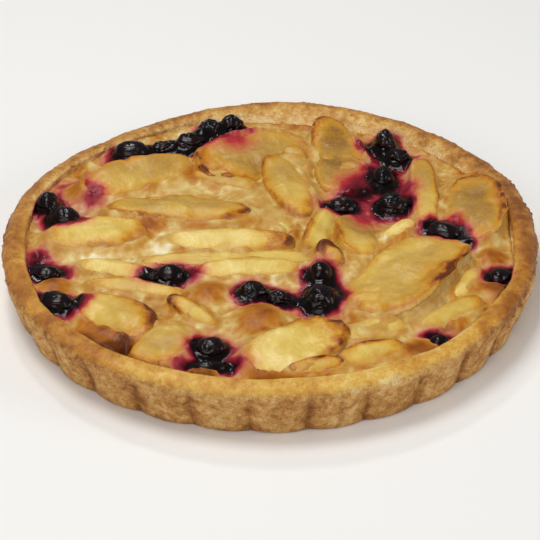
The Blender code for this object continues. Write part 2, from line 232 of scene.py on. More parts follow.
def bakedApple():
    # Baked apple flesh: soft, moist and slightly see-through, with fibres that run from core to skin, tan where it
    # dried and dark along its thin burnt rims.
    material, tree, shader = newMaterial("bakedApple")
    place = addNode(tree, "TexCoord", out="Object")
    along = addNode(tree, "Attribute", {"attribute_name": "grain"}, out="Vector")
    brown, tone, cream, stain = (addNode(tree, "Attribute", {"attribute_name": key}, out="Fac")
                                 for key in ("brown", "tone", "cream", "stain"))
    stretch = addNode(tree, "Mapping", {"Scale": (1.0, 0.15, 1.0)}, {"Vector": along})
    fibres = addNode(tree, "TexNoise", {"Scale": 1 / (2 * mm), "Detail": 4.0, "Roughness": 0.6}, {"Vector": stretch})
    clouds = addNode(tree, "TexNoise", {"Scale": 1 / (10 * mm), "Detail": 4.0, "Roughness": 0.6}, {"Vector": place})
    fine = addNode(tree, "TexNoise", {"Scale": 1 / (1.6 * mm), "Detail": 5.0, "Roughness": 0.65}, {"Vector": place})
    toned = addNode(tree, "Math", {"operation": "MULTIPLY_ADD", 1: 0.36}, {0: clouds, 2: tone})
    tonedFibre = addNode(tree, "Math", {"operation": "MULTIPLY_ADD", 1: 0.15}, {0: fibres, 2: toned})
    flesh = addNode(tree, "ValToRGB", {"stops": [
        (0.25, "#F0D98C"), (0.42, "#E0C264"), (0.60, "#CBA450"), (0.80, "#AE8440"), (1.0, "#90642E")]},
        {"Fac": tonedFibre})
    toasted = addNode(tree, "Math", {"operation": "MULTIPLY_ADD", 1: 0.35}, {0: fine, 2: brown})
    burnt = addNode(tree, "ValToRGB", {"stops": [
        (0.18, "#E2B23A"), (0.44, "#D29828"), (0.70, "#B46E1C"), (0.92, "#8A4814"), (1.0, "#66300E")]},
        {"Fac": toasted})
    cover = addNode(tree, "MapRange", {"From Min": 0.18, "From Max": 0.52}, {"Value": toasted})
    rimmed = addNode(tree, "Mix", {"data_type": "RGBA"}, {0: cover, 6: flesh, 7: burnt}, 2)
    filmed = addNode(tree, "Mix", {"data_type": "RGBA", 7: toLinear("#DCBC80")}, {0: cream, 6: rimmed}, 2)
    dry = addNode(tree, "Math", {"operation": "MULTIPLY_ADD", 1: 0.25}, {0: brown, 2: clouds})
    rough = addNode(tree, "MapRange", {"From Min": 0.3, "From Max": 0.8, "To Min": 0.17, "To Max": 0.42},
                    {"Value": dry})
    height = addNode(tree, "Math", {"operation": "MULTIPLY_ADD", 1: 0.6}, {0: fine, 2: fibres})
    bump = addNode(tree, "Bump", {"Strength": 0.36, "Distance": 0.8 * mm}, {"Height": height})
    addNode(tree, shader, {"IOR": 1.38, "Specular IOR Level": 0.38, "Subsurface Weight": 0.2,
                           "Subsurface Radius": (1.0, 0.8, 0.3), "Subsurface Scale": 3 * mm},
            {"Base Color": juiceOver(tree, filmed, stain, fleshJuice), "Roughness": rough, "Normal": bump})
    return material


def bakedBerry():
    # The skin of a baked berry: nearly black, thin and wet, wrinkled where the juice has left it, with plum where
    # light comes through a fold.
    material, tree, shader = newMaterial("bakedBerrySkin")
    place = addNode(tree, "TexCoord", out="Object")
    fold = addNode(tree, "Attribute", {"attribute_name": "fold"}, out="Fac")
    skin = addNode(tree, "ValToRGB", {"stops": [(0.0, "#060304"), (0.7, "#0A0304"), (1.0, "#1C0508")]}, {"Fac": fold})
    bloom = addNode(tree, "TexNoise", {"Scale": 1 / (5 * mm), "Detail": 3.0}, {"Vector": place})
    rough = addNode(tree, "MapRange", {"From Min": 0.3, "From Max": 0.7, "To Min": 0.13, "To Max": 0.32},
                    {"Value": bloom})
    fine = addNode(tree, "TexNoise", {"Scale": 1 / (1.1 * mm), "Detail": 4.0}, {"Vector": place})
    bump = addNode(tree, "Bump", {"Strength": 0.12, "Distance": 0.3 * mm}, {"Height": fine})
    addNode(tree, shader, {"IOR": 1.45, "Specular IOR Level": 0.30},
            {"Base Color": skin, "Roughness": rough, "Normal": bump})
    return material


pastry = shortcrust()
custardSkin = bakedCustard()
appleFlesh = bakedApple()
berrySkin = bakedBerry()
print("materials made")


# The case. Its waves are (angle, how many mm more, how wide in degrees), as the solid has them.
case = {
    "outerRadius": 130.0,
    "rimHeight": 26.0,
    "floorHeight": 5.0,
    "wallRadius": 115.5,
    "wallFlare": 0.2,
    "wallLevel": 19.5,
    "rimWidth": 10.5,
    "flutes": 30,
    "fluteDepth": 3.2,
    "flutePower": 0.6,       # under 1 flattens the crowns and narrows the valleys
    "valley": 0.004,         # how rounded the valleys' bottoms are
    "rimFlute": 0.22,        # how much of the valleys is left where the dough bulged over them
    "fluteStart": -94.0,
    "fluteStep": 30,         # mesh steps to a flute
    "sectionSteps": 96,      # mesh steps along the section
    "outerWaves": [(125, -3.5, 26), (20, 1.5, 16), (232, 0.8, 20)],
    "wallWaves": [(80, -6.0, 30), (158, 3.0, 22), (215, 4.0, 24), (270, -1.0, 16), (310, 3.5, 20), (343, 3.0, 14),
                  (18, 2.0, 14)],
    "rimWaves": [(128, -2.0, 24), (84, 0.8, 12), (20, 0.8, 15), (205, -0.6, 18), (268, 1.8, 38)],
    "rimBrown": [(0, 0.42, 40), (180, 0.22, 45), (90, 0.10, 40), (130, 0.10, 30), (60, 0.10, 30), (-64, -0.14, 20),
                 (218, 0.16, 25)],
    "dryBack": 0.6,          # how much less butter the rim has at the back
    "butter": (22.6, 24.8),  # between which heights the smooth, buttery rim starts
    "sideBrown": -0.07,      # how brown the case is all over and in patches, how dark its valleys are with painted shade, and how much darker it is down at its foot
    "patchBrown": 0.34,
    "valleyShade": 0.50,
    "footDarkening": 0.10,
    "insidePale": 0.25,      # how much paler its inner wall is
    "crumbs": [(9.0, 0.6), (4.2, 0.45), (2.1, 0.4)],     # lumps of the dough: (size, height)
    "pits": (3.1, 1.0),      # small holes between the crumbs: (spacing, depth)
}


def wallRadius(angle, height):
    return case["wallRadius"] + waves(angle, case["wallWaves"]) + case["wallFlare"] * (height - case["wallLevel"])


def outerRadius(angle):
    return case["outerRadius"] + waves(angle, case["outerWaves"])


def flute(angle):
    # 0 on a flute's crown, -1 in the narrow valley between two
    along = (angle - case["fluteStart"]) * case["flutes"] / 360
    return (np.sin(math.pi * along) ** 2 + case["valley"]) ** (case["flutePower"] / 2) - 1


def keepInside(points, gap):
    # draws points in to this far from the case's wall
    angle = angleOf(points)
    reach = np.hypot(points[:, 0], points[:, 1])
    limit = wallRadius(angle, points[:, 2]) - gap
    scale = np.where(reach > limit, limit / np.maximum(reach, 1e-6), 1)
    points[:, :2] *= scale[:, None]
    return points


def splineWeights(keys, steps):
    # how much each key counts at each of the steps along a smooth line through them
    weights = np.zeros((steps, keys))
    for row, t in enumerate(np.linspace(0, keys - 1, steps)):
        k = min(int(t), keys - 2)
        f = t - k
        basis = [(-f + 2 * f ** 2 - f ** 3) / 2, (2 - 5 * f ** 2 + 3 * f ** 3) / 2,
                 (f + 4 * f ** 2 - 3 * f ** 3) / 2, (-f ** 2 + f ** 3) / 2]
        for offset, share in enumerate(basis):
            weights[row, min(max(k - 1 + offset, 0), keys - 1)] += share
    return weights


def caseSection(angle):
    # the section's key points at each angle, as (radius, height), from the underside over the rim to the floor
    outer, dip = outerRadius(angle), case["fluteDepth"] * flute(angle)
    soft = case["rimFlute"] * dip
    rise = waves(angle, case["rimWaves"])
    rim = case["rimHeight"]
    wall = wallRadius(angle, case["wallLevel"])
    edge = np.maximum(outer - case["rimWidth"], wall + 1.5)
    rows = [
        (outer - 30, 0), (outer - 14, 0), (outer - 8.5 + 0.3 * dip, 0), (outer - 5.8 + 0.65 * dip, 0.3),
        (outer - 4.6 + 0.9 * dip, 1.8), (outer - 3.6 + dip, 5.5), (outer - 2.4 + dip, 10.5),
        (outer - 1.0 + 0.9 * dip, 16), (outer - 0.1 + soft, 20.6 + 0.4 * rise),
        (outer - 0.6 + soft, 23 + 0.7 * rise), (outer - 2.8 + 0.7 * soft, 24.9 + rise),
        (outer - 6.2 + 0.2 * soft, rim + rise),
        (edge + 1.2, rim - 0.3 + rise), (edge - 0.6, 24.4 + 0.8 * rise),
        (0.5 * (wall + edge), 22.4 + 0.5 * rise), (wall + 0.2, 19.6), (wall - 2, 12),
        (wall - 3, 5.4), (wall - 14, case["floorHeight"]),
    ]
    return np.array([[r, z + 0 * angle] for r, z in rows]).transpose(2, 0, 1)


def makeCase():
    steps = case["flutes"] * case["fluteStep"]
    count = case["sectionSteps"]
    bm = bmesh.new()
    line = [bm.verts.new((1 + index, 0, index)) for index in range(count)]
    edges = [bm.edges.new(pair) for pair in zip(line, line[1:])]
    bmesh.ops.spin(bm, geom=line + edges, axis=(0, 0, 1), cent=(0, 0, 0), angle=math.tau, steps=steps, use_merge=True)
    bmesh.ops.remove_doubles(bm, verts=bm.verts, dist=0.0001)
    bmesh.ops.holes_fill(bm, edges=[e for e in bm.edges if e.is_boundary], sides=0)
    caps = [f for f in bm.faces if len(f.verts) > 4]
    bmesh.ops.poke(bm, faces=caps)
    mesh = meshFrom(bm, "crust")
    start = vertexPoints(mesh)
    row = np.clip(np.round(start[:, 2]).astype(int), 0, count - 1)
    angle = angleOf(start)
    centre = np.hypot(start[:, 0], start[:, 1]) < 0.5

    section = caseSection(angle)
    weights = splineWeights(section.shape[1], count)
    shaped = np.einsum("nk,nkc->nc", weights[row], section)
    turn = np.radians(angle)
    points = np.column_stack([shaped[:, 0] * np.cos(turn), shaped[:, 0] * np.sin(turn), shaped[:, 1]])
    points[centre, :2] = 0

    # crumbs stand out of the surface the way it faces: outwards at the side, upwards at the rim
    height = shaped[:, 1]
    share = row / (count - 1)
    facing = np.clip((share - 0.12) * 3.2, 0, 1) * math.pi        # 0 out of the side, half a turn at the inner wall
    out = np.column_stack([np.cos(turn) * np.cos(facing), np.sin(turn) * np.cos(facing), np.sin(facing)])
    shown = smoothStep(0.3, 2.0, height) * smoothStep(0.9, 0.8, share)
    lumps = sum(rise * noiseAt(points, size, 10 + k) for k, (size, rise) in enumerate(case["crumbs"]))
    spacing, depth = case["pits"]
    holes = depth * smoothStep(0.42, 0.12, cellsAt(points, spacing, 2)) * smoothStep(-0.1, 0.4, noiseAt(points, 8, 5))
    ragged = 1.6 * noiseAt(points, 6, 25) + 0.8 * noiseAt(points, 2.6, 26)
    glaze = smoothStep(*case["butter"], height + ragged) * smoothStep(0.46, 0.53, share)
    glaze *= 1 - case["dryBack"] * smoothStep(-0.3, 0.5, np.sin(turn))
    broken = 0.8 * noiseAt(points, 13, 21) * glaze
    points += out * (((lumps - holes) * (1 - 0.72 * glaze) + broken) * shown)[:, None]
    points[height < 0.25, 2] = np.maximum(points[height < 0.25, 2], 0)

    patches = noiseAt(points, 22, 31) * 0.5 + noiseAt(points, 7, 32) * 0.3
    # brown all over and in patches, and darker down at its foot
    brown = case["patchBrown"] * patches + case["sideBrown"] + case["footDarkening"] * smoothStep(6, 0, height)
    # painted shade in the flutes' valleys, below the rim
    brown += case["valleyShade"] * flute(angle) ** 2 * smoothStep(24, 20, height)
    rimShare = smoothStep(20, 24, height)
    brown += rimShare * (waves(angle, case["rimBrown"]) + 0.12 * noiseAt(points, 12, 33))
    brown -= case["insidePale"] * smoothStep(0.61, 0.72, share)
    # painted shade in the crumb's pits
    brown += 0.10 * holes * (1 - glaze)
    stain = stainAt(points) * smoothStep(0.66, 0.76, share) * 0.9
    print("case:", len(mesh.polygons), "faces")
    return finishPiece("crust", mesh, points, pastry, {"brown": brown, "glaze": glaze, "stain": stain},
                       ["crust"])


def apple(name, at, length, left, right, thick, heading, **more):
    row = {
        "name": "slice_" + name, "at": at, "length": length, "left": left, "right": right, "thick": thick,
        "heading": heading,
        "roll": 0, "pitch": 0, "lift": 0, "taper": 0, "bow": 0, "square": 2.4,
        "tone": 0.4,         # from 0, pale, to 1, tan
        "fade": (90, 0.0),   # the direction in which it gets more tan, and how much
        "rim": 0.45,         # how brown all its edge is
        "burnt": [],         # where its edge is browner: (direction, how brown, how wide)
        "golden": [],        # the same, but broad and light
        "proud": None,       # the side that curled up out of the custard, if not the first that is burnt
        "stand": 1.0,        # how far that side stands up
        "bare": 0.0,         # how much of its low side the custard leaves free
        "coat": 0.0,         # how much of its top the custard covers
        "corners": [],       # bulges of the outline: (direction, how far, how wide)
        "folds": [],         # creases from one place to another: how wide, how deep, and how much browning and painted shade darken them
        "crest": None,       # where, across it, its two cut faces meet
    }
    row.update(more)
    if row["proud"] is None:
        row["proud"] = row["burnt"][0][0] if row["burnt"] else 90
    return row


slices = [
    apple("right_round", (64, -38, 24.5), 75, 23, 22, 7, 58, roll=-7, lift=-3.5, square=2.4, tone=0.55, rim=0.3,
          burnt=[(-12, 1.3, 32), (130, 0.5, 45), (262, 0.5, 38)], proud=10, corners=[(26, 4.5, 11)], fade=(-30, 0.15),
          golden=[(225, 0.22, 35), (-15, 0.3, 35)], bare=0.45,
          folds=[((98, -21), (79, -50), 2.6, 2.0, 1.2), ((80, -33), (70, -50), 5.0, 0.8, 0.25)]),
    apple("middle_lens", (9, 39, 25), 66, 10, 11, 8, 107, roll=-8, square=2.0, tone=0.55,
          burnt=[(107, 1.1, 25), (290, 0.6, 35)], proud=190, crest=0.2, fade=(110, 0.2),
          golden=[(290, 0.4, 40), (180, 0.35, 60)], bare=0.2),
    apple("boat", (-45, 17, 24.5), 74, 11, 13, 11, -4, roll=-4, taper=0.12, bow=2, square=2.3, tone=0.7, rim=0.6,
          burnt=[(95, 0.3, 60), (5, 0.6, 18), (170, 0.25, 30)], proud=100, corners=[(12, 3, 9)], crest=-0.35,
          fade=(90, 0.15), golden=[(-50, 0.35, 40)], bare=0.25,
          folds=[((-79, 15), (-45, 7), 1.2, 0.9, 0.75), ((-22, 8), (-8, 17), 1.5, 0.5, 0.9)]),
    apple("middle_lump", (13, 65, 24.5), 24, 7, 7, 8, 95, tone=0.7, rim=0.6, burnt=[(90, 0.6, 50)], coat=0.5),
    apple("back_right", (33, 82, 24.5), 44, 12, 13, 7, 105, pitch=8, taper=-0.2, tone=1.2, burnt=[(110, 0.8, 45)],
          proud=120, crest=0.25, fade=(110, 0.3), golden=[(130, 0.45, 70), (310, 0.28, 80)]),
    apple("back_centre", (-10, 70, 24.5), 60, 19, 19, 7, 24, roll=10, square=2.3, tone=0.86,
          burnt=[(215, 0.9, 45), (80, 0.35, 40)], proud=215, crest=-0.3, fade=(200, 0.15), golden=[(215, 0.6, 45)]),
    apple("back_right_low", (36, 54, 23), 36, 13, 15, 7, 100, tone=1.0, rim=0.25, proud=180, fade=(60, 0.3)),
    apple("long_middle", (-20, -8, 24), 64, 8, 8, 8, -2, square=2.8, tone=0.15, rim=0.2, burnt=[(0, 1.6, 14)],
          proud=60, crest=0.3, fade=(60, -0.15), golden=[(2, 0.7, 22), (60, 0.25, 50)], bare=0.4),
    apple("left_lens", (-84, -1, 23.5), 48, 13, 13, 9, 3, square=2.5, tone=0.22, rim=0.35, burnt=[(290, 0.5, 50)],
          proud=80, crest=-0.2, fade=(-70, 0.25), golden=[(268, 0.38, 60), (-10, 0.4, 30)], bare=0.4),
    apple("peak", (29, -22, 25), 19, 6, 6, 8, -45, pitch=-20, square=2.0, tone=0.6, rim=1.6, burnt=[(110, 2.4, 80)],
          crest=0.2, golden=[(300, 1.5, 120), (120, 2.0, 90)]),
    apple("centre_right_a", (24, 0, 24), 40, 7, 8, 9, 72, roll=14, tone=0.3, burnt=[(165, 1.2, 30)], crest=0.3,
          golden=[(200, 0.7, 60)], bare=0.2),
    apple("centre_right_b", (42, -3, 23.5), 36, 11, 12, 8, 95, roll=10, tone=0.85, rim=0.35, burnt=[(185, 0.9, 30)],
          fade=(80, 0.55), golden=[(260, 0.3, 60)], bare=0.2),
    apple("yellow_strip", (-10, -31, 23), 52, 7, 7, 8, 3, square=2.8, tone=0.2, rim=0.5, burnt=[(90, 0.5, 60)],
          crest=0.3, fade=(80, 0.3), golden=[(200, 0.15, 60)], bare=0.2),
    apple("right_strip", (77, 38, 24), 62, 6, 7, 8, 89, square=2.8, tone=0.6, rim=0.6, burnt=[(75, 0.8, 30)], proud=0,
          crest=-0.3, fade=(90, 0.2), golden=[(0, 0.25, 60), (180, 0.2, 50)]),
    apple("far_right", (100, 23, 24), 60, 14, 17, 7, 84, roll=-4, lift=-4, square=2.5, tone=0.95,
          burnt=[(80, 0.8, 45), (10, 0.9, 40), (-40, 0.7, 30)], proud=20, crest=-0.35, fade=(30, 0.2),
          golden=[(10, 0.5, 40), (80, 0.35, 45)]),
    apple("back_left", (-67, 52, 24), 60, 13, 12, 9, 28, roll=5, taper=-0.15, tone=0.68, burnt=[(100, 0.6, 50)],
          proud=110, crest=0.3, fade=(100, 0.3), golden=[(120, 0.25, 50), (290, 0.2, 90)]),
    apple("front_left", (-71, -68, 23.5), 44, 12, 12, 8, -33, roll=4, taper=0.1, square=2.6, tone=0.5,
          burnt=[(-5, 1.4, 35), (60, 0.6, 40)], proud=25, crest=-0.1, fade=(0, 0.2), golden=[(0, 0.55, 50)], bare=0.2),
    apple("front_big", (11.5, -92.5, 23.5), 51, 16, 16, 8, 32, square=2.5, tone=0.2,
          burnt=[(45, 1.2, 30), (-15, 0.8, 35), (110, 0.5, 40)], proud=45, corners=[(32, 2.5, 12)], crest=0.3,
          fade=(40, 0.2), golden=[(30, 0.35, 40)], bare=0.1),
    apple("front_pale", (-48, -90, 22.5), 32, 12, 12, 7, 62, square=2.8, tone=0.6, rim=0.2, burnt=[(260, 0.5, 50)],
          proud=200, stand=0.4, golden=[(270, 0.4, 40)]),
    apple("front_small", (-36, -66, 23.5), 31, 5, 5, 7, -43, square=2.2, tone=0.45, rim=0.7, burnt=[(135, 1.6, 25)],
          crest=0.2, golden=[(130, 0.6, 50), (50, 0.3, 60)], bare=0.2),
    apple("left_strip_low", (-63, -46, 22.5), 47, 5, 5, 7, -12, tone=0.4, rim=0.35, crest=0.3,
          golden=[(170, 0.3, 40), (0, 0.2, 60)], bare=0.1),
    apple("left_strip", (-74, -30, 22.5), 36, 6, 7, 7, -14, tone=0.25, rim=0.2, stand=0.3, crest=0.3),
    apple("front_edge_a", (21, -107, 22.5), 28, 5, 5, 7, 12, tone=0.5, rim=1.3, burnt=[(90, 2.0, 75)], crest=0.5,
          golden=[(95, 1.6, 70)], bare=0.5),
    apple("front_edge_b", (45, -96.5, 22.5), 36, 6, 7, 7, 20, tone=0.4, rim=1.1, burnt=[(105, 2.0, 75)], crest=0.5,
          golden=[(105, 1.4, 70)], bare=0.5),
    apple("front_right_pale", (48, -79, 22), 32, 8, 8, 7, 22, tone=0.4, rim=0.2, coat=0.45, stand=0.3),
    apple("front_right_strip", (84, -66, 22.5), 38, 6, 6, 7, 36, tone=0.45, rim=0.45, crest=0.3,
          golden=[(60, 0.25, 60)], bare=0.3),
    apple("right_low", (93, -42, 22), 30, 5, 5, 6, 65, tone=0.3, rim=0.2, coat=0.45, stand=0.3),
    apple("boat_left", (-70, 17, 22.5), 26, 5, 5, 7, -14, tone=0.45, rim=0.6),
    apple("boat_front", (-50, 10, 22), 18, 5, 5, 7, -25, tone=0.8, rim=0.9),
    apple("right_cream", (63, 3, 23), 22, 4, 4, 6, 38, tone=0.05, rim=0.1),
    apple("back_under", (-24, 50, 22.5), 36, 6, 5, 6, -24, tone=0.6, rim=1.0),
    apple("under_custard", (3, 9, 23), 28, 9, 9, 7, 110, tone=0.2, rim=0.3, coat=0.8, stand=0.3),
    apple("long_low", (-18, -20, 21.5), 86, 5, 6, 6, 2, square=2.8, tone=0.35, rim=0.1, stand=0.3),
]


sliceMesh = {
    "sidesPerMm": 2.1,
    "layersPerMm": 1.6,
    "bulge": 6.0,            # how square-shouldered the section is
    "wedge": 0.15,           # how much thicker it is on its left
    "tilt": 1.1,             # how far the proud edge stands up, and the other goes down
    "lip": 0.7,
    "slope": 0.42,           # how steeply the two cut faces fall from their crest
    "wobble": [(12.0, 1.5), (5.0, 1.1), (2.2, 0.6)],     # unevenness of the outline: (size, how far in or out)
    "sway": [(15.0, 1.3), (6.0, 0.65), (2.6, 0.2)],
    "fibre": 0.16,
    "rimLine": 1.2,          # how wide the dark line along a burnt edge is
    "golden": 0.78,          # how strong the broad, light browning is
    "tan": 0.145,            # how tan every slice is
    "paleMiddle": 0.14,      # how much paler its middle is than its edge
}


def sliceTurn(row):
    return np.array(Euler([math.radians(a) for a in (row["roll"], -row["pitch"], row["heading"])], "XYZ").to_matrix())


def signedPower(value, power):
    return np.sign(value) * np.abs(value) ** power


def proudness(direction, row):
    # 1 on the side that curled up, -1 on the side that stayed in the custard
    return np.cos(np.radians(direction - row["proud"]))


def segmentDistance(points, start, end):
    # how far points are from the line between two places, and how far along it they lie
    start, end = np.array(start, dtype=float), np.array(end, dtype=float)
    line = end - start
    share = np.clip(((points[:, :2] - start) @ line) / (line @ line), 0, 1)
    return np.hypot(*(points[:, :2] - start - share[:, None] * line).T), share


def makeSlice(row, seed):
    bm = bmesh.new()
    breadth = row["left"] + row["right"]
    sides = int(np.clip(row["length"] * sliceMesh["sidesPerMm"], 72, 150))
    layers = int(np.clip(breadth * sliceMesh["layersPerMm"], 34, 60))
    bmesh.ops.create_uvsphere(bm, u_segments=sides, v_segments=layers, radius=1)
    mesh = meshFrom(bm, row["name"])
    ball = vertexPoints(mesh)
    direction = np.arctan2(ball[:, 1], ball[:, 0])
    latitude = np.arcsin(np.clip(ball[:, 2], -1, 1)) / (math.pi / 2)
    spread = 1 - np.abs(latitude) ** 1.5
    rise = np.sign(latitude) * np.sqrt(1 - spread ** sliceMesh["bulge"])
    top = smoothStep(-0.05, 0.25, rise)

    # the outline: a slice's oval with uneven curves, corners and a nibbled edge
    lengthwise, sideways = (signedPower(part, 2 / row["square"]) for part in (np.cos(direction), np.sin(direction)))
    half = np.where(np.sin(direction) > 0, row["left"], row["right"])
    outline = np.column_stack([row["length"] / 2 * lengthwise, half * sideways])
    outlineReach = np.hypot(outline[:, 0], outline[:, 1])
    world = np.degrees(np.arctan2(outline[:, 1], outline[:, 0])) + row["heading"]
    flatOutline = np.column_stack([outline, np.full(len(ball), seed * 31.0)])
    small = np.clip(breadth / 24, 0.4, 1)
    uneven = small * sum(amount * noiseAt(flatOutline, size, seed) for size, amount in sliceMesh["wobble"])
    wobble = 1 + (waves(world, row["corners"]) + uneven) / outlineReach
    edge = (1 - spread) * outlineReach                     # mm in from the outline
    proud = proudness(world, row)

    along = spread * outline[:, 0] * wobble
    share = spread * lengthwise
    across = spread * outline[:, 1] * wobble
    acrossShare = spread * sideways
    faces = 1.0
    if row["crest"] is not None:
        fall = np.sqrt((acrossShare - row["crest"]) ** 2 + 0.004)
        faces = 1.12 - sliceMesh["slope"] * fall * (rise > 0)
    curl = np.maximum(0, acrossShare * math.copysign(1, row["lift"])) ** 2 * abs(row["lift"])
    local = np.column_stack([
        along,
        across * (1 + row["taper"] * share) + row["bow"] * (1 - share ** 2),
        rise * faces * row["thick"] / 2 * (1 + sliceMesh["wedge"] * acrossShare) + curl,
    ])
    lift = sliceMesh["tilt"] * row["stand"] * spread ** 2 * proud
    curled = sliceMesh["lip"] * row["stand"] * np.exp(-((edge - 1.3) / 1.3) ** 2) * np.maximum(0, proud)
    lift += curled * (1 + 0.8 * noiseAt(local, 4.0, seed + 33)) * top
    broad = min(1.6, breadth / 20)
    for size, amount in sliceMesh["sway"]:
        lift += amount * broad * noiseAt(local, size, seed + size) * smoothStep(-1, 1, rise) * smoothStep(0, 4, edge)
    lift += sliceMesh["fibre"] * ridgesAt(local * [1, 0.22, 1], 2.6, seed + 90) * top * smoothStep(0.5, 3, edge)
    local[:, 2] += lift
    grain = local * np.column_stack([1 - 0.3 * acrossShare, np.ones(len(local)), np.ones(len(local))])
    points = local @ sliceTurn(row).T + np.array(row["at"])
    creaseBrownAndShade = np.zeros(len(points))
    for start, end, width, depth, browningAndShade in row["folds"]:
        away, where = segmentDistance(points, start, end)
        fold = np.exp(-(away / width) ** 2) * smoothStep(0, 0.25, 1 - where)
        points[:, 2] -= depth * fold * top
        creaseBrownAndShade = np.maximum(creaseBrownAndShade, browningAndShade * np.exp(-(away / width * 0.9) ** 2))
    points = keepInside(points, -0.4)

    # browning follows the rim and is strongest where the slice stood proud
    coarse, fine = noiseAt(points, 5, seed + 7), noiseAt(points, 1.8, seed + 8)
    rough = coarse * 0.5 + fine * 0.3
    shoulder = 0.10 * outlineReach + 0.4                   # where the top meets the side
    line = np.exp(-(np.abs(edge - 0.8 * shoulder + 1.0 * coarse + 0.6 * fine) / sliceMesh["rimLine"]) ** 1.4)
    glow = np.exp(-np.maximum(0, edge - shoulder - 2.0 * coarse) / (1.4 + 0.10 * outlineReach))
    burnt = waves(world, row["burnt"])
    proudShare = smoothStep(-0.5, 0.7, proud)
    patchy = np.clip(0.85 + 0.8 * coarse + 0.5 * fine, 0.3, 1.25)
    brown = line * (0.28 * row["rim"] * (0.25 + 0.9 * proudShare) + 0.32 * burnt) * patchy
    brown += glow * (0.07 + 0.34 * row["rim"] + 0.44 * burnt) * (0.85 + 1.0 * rough)
    golden = sliceMesh["golden"] * waves(world, row["golden"])
    brown += golden * smoothStep(0.25, 0.95, spread) * (0.8 + 0.6 * rough)
    # creases are darkened by browning and painted shade
    brown = brown * (0.30 + 0.70 * smoothStep(0.0, 0.6, rise)) + creaseBrownAndShade * (0.8 + 0.5 * rough) * top
    brown += 0.10 * np.maximum(0, noiseAt(points, 9, seed + 12))
    brown = np.tanh(brown * (1 - smoothStep(0.35, 0.9, brown) * np.clip(0.10 - 0.7 * fine - 0.5 * coarse, 0, 0.45)))
    tone = row["tone"] * 0.6 + 0.12 * noiseAt(points, 14, seed + 20) + 0.06 * coarse + sliceMesh["tan"]
    tone -= sliceMesh["paleMiddle"] * smoothStep(1, 7, edge)
    tone += 0.8 * row["fade"][1] * spread * np.cos(np.radians(world - row["fade"][0]))
    cream = np.exp(-(np.maximum(0, edge - 1.2 * coarse) / 2.2) ** 2) * (1 - proudShare) * smoothStep(-0.6, 0.6, fine)
    return finishPiece(row["name"], mesh, points, appleFlesh,
                       {"brown": brown, "tone": tone, "cream": cream, "stain": stainAt(points)},
                       [row["name"]], {"grain": grain})


# name, place, half its length, width and height, heading, how wrinkled
berries = [dict(zip(("name", "at", "size", "heading", "wrinkle"), row)) for row in (
    ("berry_back_big", (-71, 76, 24.5), (9.2, 7, 5.8), 0, 0.03),
    ("berry_back_crushed", (-54, 82, 23.5), (7, 5, 3.5), 15, 0.18),
    ("berry_back_wrinkled", (-41, 84, 25), (7.5, 6, 5.5), 10, 0.14),
    ("berry_back_cluster", (-31, 96, 25), (6.5, 7, 6), 20, 0.18),
    ("berry_back_tall", (-20, 99, 26), (5.5, 6.5, 6.5), 80, 0.12),
    ("berry_left_wall", (-110, 27, 24), (7, 5.5, 6), 100, 0.08),
    ("berry_left", (-101, 14, 24), (8.5, 6.5, 6), -30, 0.07),
    ("berry_left_sunk", (-106, -31, 21.5), (6.5, 5, 4), 0, 0.05),
    ("berry_left_front", (-99, -57, 23), (8.5, 6.5, 5.5), -25, 0.08),
    ("berry_strip", (-47, -34.5, 24), (6.8, 6, 4.6), 0, 0.03),
    ("berry_strip_small", (-55, -37, 23.5), (3.5, 3, 3), 0, 0.08),
    ("berry_middle", (-8, -50, 24), (6.5, 6, 5.5), 0, 0.1),
    ("berry_middle_crushed", (4, -54, 23.5), (6, 5, 4), -25, 0.18),
    ("berry_middle_tall", (24, -36, 25), (5.6, 6, 6.2), 0, 0.03),
    ("berry_middle_wrinkled", (23.5, -55, 24), (7.2, 8.5, 6.5), 5, 0.14),
    ("berry_front", (-26.5, -92.5, 23.5), (6.9, 6, 4.6), 0, 0.07),
    ("berry_front_sunk", (-27, -105, 21.5), (7.5, 4, 3.5), 5, 0.04),
    ("berry_centre_right", (36, 24.5, 24), (7.2, 6, 4.8), 0, 0.09),
    ("berry_right_upper", (57.5, 51, 24), (5.5, 7.5, 6), 0, 0.06),
    ("berry_right_wrinkled", (61, 25, 24), (8, 8, 6.5), 20, 0.14),
    ("berry_back_right", (60, 85, 25), (5.2, 7.5, 6.5), 0, 0.08),
    ("berry_back_right_low", (66, 72, 24), (6.2, 5, 4.5), -20, 0.16),
    ("berry_right", (85, 1, 24.5), (8.5, 6, 5), -35, 0.06),
    ("berry_right_sunk", (109, -34, 22), (6, 5, 4), 60, 0.06),
    ("berry_front_right", (77, -86, 22.5), (4.5, 3.5, 3), 0, 0.05),
)]


def berryDistance(points, row):
    # how far outside a berry's outline a place is, seen from above
    (midX, midY, _), (length, width, _) = row["at"], row["size"]
    along, across = alongAcross(points[:, 0] - midX, points[:, 1] - midY, row["heading"])
    return (np.hypot(along / length, across / width) - 0.9) * min(length, width)


berryMesh = {
    "subdivisions": 5,
    "uneven": 0.06,          # how far a smooth berry is from round
    "dents": 0.7,            # for a wrinkled one: how deep its dents, folds and fine folds are
    "folds": 0.85,
    "fineFolds": 0.16,
}


